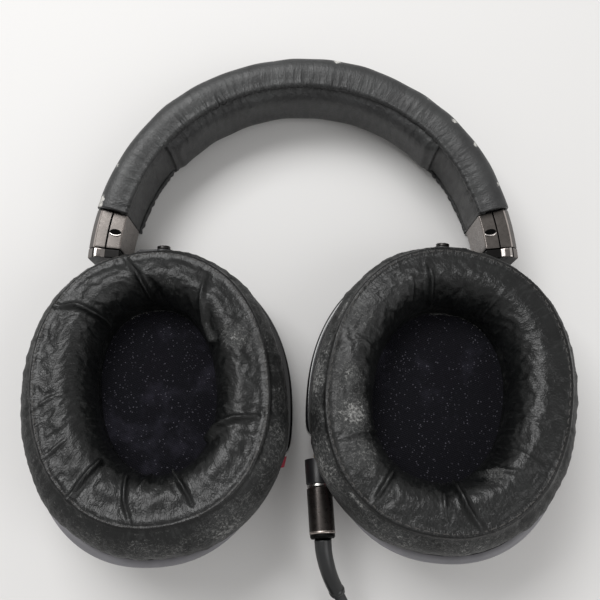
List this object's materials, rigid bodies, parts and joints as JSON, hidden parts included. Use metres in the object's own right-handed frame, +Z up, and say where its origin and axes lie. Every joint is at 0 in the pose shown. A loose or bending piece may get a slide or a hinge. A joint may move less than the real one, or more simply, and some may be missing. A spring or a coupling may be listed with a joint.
{
  "type": "over ear headphones",
  "caption": "Over ear headphones lying flat: leather arch with sliding, swivelling and tilting oval cups, soft ear pads and a detachable lead with a round plug.",
  "frame": {"origin": "middle of the footprint, on the surface that the headphones lie on, the lead not counted", "axes": "+Z up out of the ear pads, +Y towards the top of the arch, +X towards the cup that takes the lead"},
  "size_m": [0.2042, 0.2761, 0.0554],
  "materials": {
    "band_leather": "smooth grey leather, slightly worn at its outer edges",
    "pad_leather": "worn black leatherette, finely wrinkled and peeling",
    "pad_cloth": "dark navy knit",
    "gunmetal": "brushed, warm grey",
    "chrome": "polished",
    "steel": "brushed",
    "black_gloss": "glossy",
    "black_plastic": "satin",
    "grey_plastic": "satin",
    "dark_plate": "satin",
    "red_trim": "glossy",
    "foam": "soft",
    "magnet": "plated",
    "cone": "thin film",
    "rubber": "matte",
    "sleeve": "satin gunmetal",
    "brass": "gold plated"
  },
  "bodies": {
    "band": {"headband_cover": "band_leather", "headband_cushion": "band_leather", "headband_lining": "band_leather", "band_core": "black_plastic", "band_spring": "steel", "band_rivets": "steel", "detent_springs": "steel", "slider_case_left": "gunmetal", "slider_case_inner_left": "gunmetal", "slider_case_right": "gunmetal", "slider_case_inner_right": "gunmetal"},
    "left_slider": {"slider_arm_left": "steel", "knuckle_left": "chrome", "knuckle_cover_left": "dark_plate", "hanger_left": "black_gloss", "swivel_pin_left": "steel"},
    "left_yoke": {"swivel_washer_left": "cone", "yoke_left": "black_gloss", "yoke_pivot_pins_left": "steel", "channel_mark": "red_trim"},
    "left_cup": {"housing_left": "black_gloss", "housing_ring_left": "red_trim", "baffle_left": "grey_plastic", "baffle_screws_left": "steel", "driver_basket_left": "grey_plastic", "driver_magnet_left": "magnet", "diaphragm_left": "cone", "driver_grille_left": "black_plastic", "pad_mount_ring_left": "black_plastic", "ear_pad_left": "pad_leather", "pad_cloth_left": "pad_cloth"},
    "right_slider": {"slider_arm_right": "steel", "knuckle_right": "chrome", "knuckle_cover_right": "dark_plate", "hanger_right": "black_gloss", "swivel_pin_right": "steel"},
    "right_yoke": {"swivel_washer_right": "cone", "yoke_right": "black_gloss", "yoke_pivot_pins_right": "steel"},
    "right_cup": {"housing_right": "black_gloss", "housing_ring_right": "red_trim", "baffle_right": "grey_plastic", "baffle_screws_right": "steel", "driver_basket_right": "grey_plastic", "driver_magnet_right": "magnet", "diaphragm_right": "cone", "driver_grille_right": "black_plastic", "pad_mount_ring_right": "black_plastic", "ear_pad_right": "pad_leather", "pad_cloth_right": "pad_cloth", "jack_socket": "chrome", "plug_pin": "brass", "plug_sleeve": "sleeve", "strain_relief": "rubber", "cable": "rubber", "cable_coil": "rubber", "cable_tie": "rubber", "cable_tail": "rubber", "far_plug_body": "sleeve", "far_plug_pin": "brass"}
  },
  "joints": [
    {"name": "left_slide", "type": "slide", "parent": "band", "child": "left_slider", "axis": [-0.2079, -0.9781, 0], "range_m": [0, 0.025]},
    {"name": "left_swivel", "type": "hinge", "parent": "left_slider", "child": "left_yoke", "pos_m": [-0.05377, 0.01422, 0.0115], "axis": [-0.0209, 0.9998, 0], "range_deg": [0, 90]},
    {"name": "left_tilt", "type": "hinge", "parent": "left_yoke", "child": "left_cup", "pos_m": [-0.05237, -0.05277, 0.01725], "axis": [0.9998, 0.0209, 0], "range_deg": [0, 16]},
    {"name": "right_slide", "type": "slide", "parent": "band", "child": "right_slider", "axis": [0.2079, -0.9781, 0], "range_m": [0, 0.025]},
    {"name": "right_swivel", "type": "hinge", "parent": "right_slider", "child": "right_yoke", "pos_m": [0.0566, 0.01528, 0.0115], "axis": [-0.0698, -0.9976, 0], "range_deg": [0, 90]},
    {"name": "right_tilt", "type": "hinge", "parent": "right_yoke", "child": "right_cup", "pos_m": [0.05193, -0.05155, 0.01725], "axis": [0.9976, -0.0698, 0], "range_deg": [0, 16]}
  ]
}
